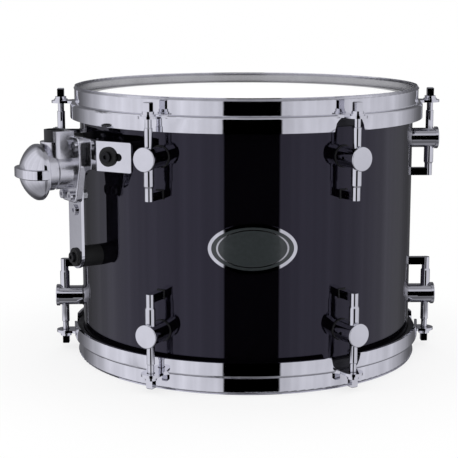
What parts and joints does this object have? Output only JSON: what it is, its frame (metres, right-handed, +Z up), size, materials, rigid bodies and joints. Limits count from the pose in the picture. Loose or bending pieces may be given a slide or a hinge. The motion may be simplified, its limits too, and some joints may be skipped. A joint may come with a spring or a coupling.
{
  "type": "tom tom drum",
  "caption": "Gloss black rack tom with flanged metal hoops, tube lugs, key rods, two heads and a rubber-isolated bracket with a wing-knob arm clamp.",
  "frame": {"origin": "centre of the plane that the lower rim rests on, on the drum's axis", "axes": "+Z up along the drum's axis from the resonant head to the batter head; the badge faces -Y, and the arm clamp stands to its left, at 60 degrees"},
  "size_m": [0.3831, 0.322, 0.248],
  "materials": {
    "shell_lacquer": "high gloss black lacquer over a wooden ply shell",
    "coated_film": "white sprayed coating on polyester film",
    "clear_film": "clear polyester film",
    "flesh_hoop_aluminium": "satin",
    "insert_brass": "machined",
    "rubber": "moulded matt rubber",
    "black_nylon": "fine moulded grain",
    "badge_enamel": "dark satin enamel",
    "zinc_steel": "zinc plated",
    "chrome": "polished chrome plate"
  },
  "bodies": {
    "drum": {"shell": "shell_lacquer", "batter_lug_1": "chrome", "batter_lug_2": "chrome", "batter_lug_3": "chrome", "batter_lug_4": "chrome", "batter_lug_5": "chrome", "batter_lug_6": "chrome", "resonant_lug_1": "chrome", "resonant_lug_2": "chrome", "resonant_lug_3": "chrome", "resonant_lug_4": "chrome", "resonant_lug_5": "chrome", "resonant_lug_6": "chrome", "batter_lug_inserts": "insert_brass", "resonant_lug_inserts": "insert_brass", "batter_lug_gaskets": "rubber", "resonant_lug_gaskets": "rubber", "batter_lug_screws": "zinc_steel", "resonant_lug_screws": "zinc_steel", "batter_lug_washers": "zinc_steel", "resonant_lug_washers": "zinc_steel", "bracket_plate": "chrome", "bracket_isolator_front": "rubber", "bracket_isolator_rear": "rubber", "bracket_isolator_lower": "rubber", "isolator_sleeves": "zinc_steel", "isolator_screws": "zinc_steel", "isolator_washers": "zinc_steel", "isolator_nuts": "zinc_steel", "receiver_housing": "chrome", "receiver_screws": "chrome", "receiver_nuts": "zinc_steel", "arm_bush": "black_nylon", "clamp_washer": "zinc_steel", "badge_plate": "chrome", "badge_inlay": "badge_enamel", "vent_grommet": "chrome"},
    "batter_head": {"batter_film": "coated_film", "batter_flesh_hoop": "flesh_hoop_aluminium", "batter_hoop": "chrome", "batter_rod_washers": "chrome"},
    "batter_rod_1_body": {"batter_rod_1": "chrome"},
    "batter_rod_2_body": {"batter_rod_2": "chrome"},
    "batter_rod_3_body": {"batter_rod_3": "chrome"},
    "batter_rod_4_body": {"batter_rod_4": "chrome"},
    "batter_rod_5_body": {"batter_rod_5": "chrome"},
    "batter_rod_6_body": {"batter_rod_6": "chrome"},
    "resonant_head": {"resonant_film": "clear_film", "resonant_flesh_hoop": "flesh_hoop_aluminium", "resonant_hoop": "chrome", "resonant_rod_washers": "chrome"},
    "resonant_rod_1_body": {"resonant_rod_1": "chrome"},
    "resonant_rod_2_body": {"resonant_rod_2": "chrome"},
    "resonant_rod_3_body": {"resonant_rod_3": "chrome"},
    "resonant_rod_4_body": {"resonant_rod_4": "chrome"},
    "resonant_rod_5_body": {"resonant_rod_5": "chrome"},
    "resonant_rod_6_body": {"resonant_rod_6": "chrome"},
    "knob_body": {"clamp_knob": "chrome"},
    "eye_bolt_body": {"eye_bolt": "zinc_steel"}
  },
  "joints": [
    {"name": "batter_head_slacken", "type": "slide", "parent": "drum", "child": "batter_head", "axis": [0, 0, 1], "range_m": [0, 0.006]},
    {"name": "batter_rod_1_turn", "type": "hinge", "parent": "batter_head", "child": "batter_rod_1_body", "pos_m": [0.085, -0.14722, 0.2], "axis": [0, 0, 1], "range_deg": [0, 2045]},
    {"name": "batter_rod_2_turn", "type": "hinge", "parent": "batter_head", "child": "batter_rod_2_body", "pos_m": [0.17, 0, 0.2], "axis": [0, 0, 1], "range_deg": [0, 2045]},
    {"name": "batter_rod_3_turn", "type": "hinge", "parent": "batter_head", "child": "batter_rod_3_body", "pos_m": [0.085, 0.14722, 0.2], "axis": [0, 0, 1], "range_deg": [0, 2045]},
    {"name": "batter_rod_4_turn", "type": "hinge", "parent": "batter_head", "child": "batter_rod_4_body", "pos_m": [-0.085, 0.14722, 0.2], "axis": [0, 0, 1], "range_deg": [0, 2045]},
    {"name": "batter_rod_5_turn", "type": "hinge", "parent": "batter_head", "child": "batter_rod_5_body", "pos_m": [-0.17, 0, 0.2], "axis": [0, 0, 1], "range_deg": [0, 2045]},
    {"name": "batter_rod_6_turn", "type": "hinge", "parent": "batter_head", "child": "batter_rod_6_body", "pos_m": [-0.085, -0.14722, 0.2], "axis": [0, 0, 1], "range_deg": [0, 2045]},
    {"name": "resonant_head_slacken", "type": "slide", "parent": "drum", "child": "resonant_head", "axis": [0, 0, -1], "range_m": [0, 0.006]},
    {"name": "resonant_rod_1_turn", "type": "hinge", "parent": "resonant_head", "child": "resonant_rod_1_body", "pos_m": [0.085, -0.14722, 0.048], "axis": [0, 0, -1], "range_deg": [0, 2045]},
    {"name": "resonant_rod_2_turn", "type": "hinge", "parent": "resonant_head", "child": "resonant_rod_2_body", "pos_m": [0.17, 0, 0.048], "axis": [0, 0, -1], "range_deg": [0, 2045]},
    {"name": "resonant_rod_3_turn", "type": "hinge", "parent": "resonant_head", "child": "resonant_rod_3_body", "pos_m": [0.085, 0.14722, 0.048], "axis": [0, 0, -1], "range_deg": [0, 2045]},
    {"name": "resonant_rod_4_turn", "type": "hinge", "parent": "resonant_head", "child": "resonant_rod_4_body", "pos_m": [-0.085, 0.14722, 0.048], "axis": [0, 0, -1], "range_deg": [0, 2045]},
    {"name": "resonant_rod_5_turn", "type": "hinge", "parent": "resonant_head", "child": "resonant_rod_5_body", "pos_m": [-0.17, 0, 0.048], "axis": [0, 0, -1], "range_deg": [0, 2045]},
    {"name": "resonant_rod_6_turn", "type": "hinge", "parent": "resonant_head", "child": "resonant_rod_6_body", "pos_m": [-0.085, -0.14722, 0.048], "axis": [0, 0, -1], "range_deg": [0, 2045]},
    {"name": "clamp_knob_turn", "type": "hinge", "parent": "drum", "child": "knob_body", "pos_m": [-0.17857, -0.1031, 0.1815], "axis": [-0.866, -0.5, 0], "range_deg": [0, 720]},
    {"name": "eye_bolt_release", "type": "slide", "parent": "drum", "child": "eye_bolt_body", "axis": [0.866, 0.5, 0], "range_m": [0, 0.00251]}
  ],
  "couplings": [
    {"joint": "batter_rod_1_turn", "follows": "batter_head_slacken", "rad_per_m": 5938.7},
    {"joint": "batter_rod_2_turn", "follows": "batter_head_slacken", "rad_per_m": 5938.7},
    {"joint": "batter_rod_3_turn", "follows": "batter_head_slacken", "rad_per_m": 5938.7},
    {"joint": "batter_rod_4_turn", "follows": "batter_head_slacken", "rad_per_m": 5938.7},
    {"joint": "batter_rod_5_turn", "follows": "batter_head_slacken", "rad_per_m": 5938.7},
    {"joint": "batter_rod_6_turn", "follows": "batter_head_slacken", "rad_per_m": 5938.7},
    {"joint": "resonant_rod_1_turn", "follows": "resonant_head_slacken", "rad_per_m": 5938.7},
    {"joint": "resonant_rod_2_turn", "follows": "resonant_head_slacken", "rad_per_m": 5938.7},
    {"joint": "resonant_rod_3_turn", "follows": "resonant_head_slacken", "rad_per_m": 5938.7},
    {"joint": "resonant_rod_4_turn", "follows": "resonant_head_slacken", "rad_per_m": 5938.7},
    {"joint": "resonant_rod_5_turn", "follows": "resonant_head_slacken", "rad_per_m": 5938.7},
    {"joint": "resonant_rod_6_turn", "follows": "resonant_head_slacken", "rad_per_m": 5938.7},
    {"joint": "eye_bolt_release", "follows": "clamp_knob_turn", "m_per_rad": 0.00019894}
  ]
}
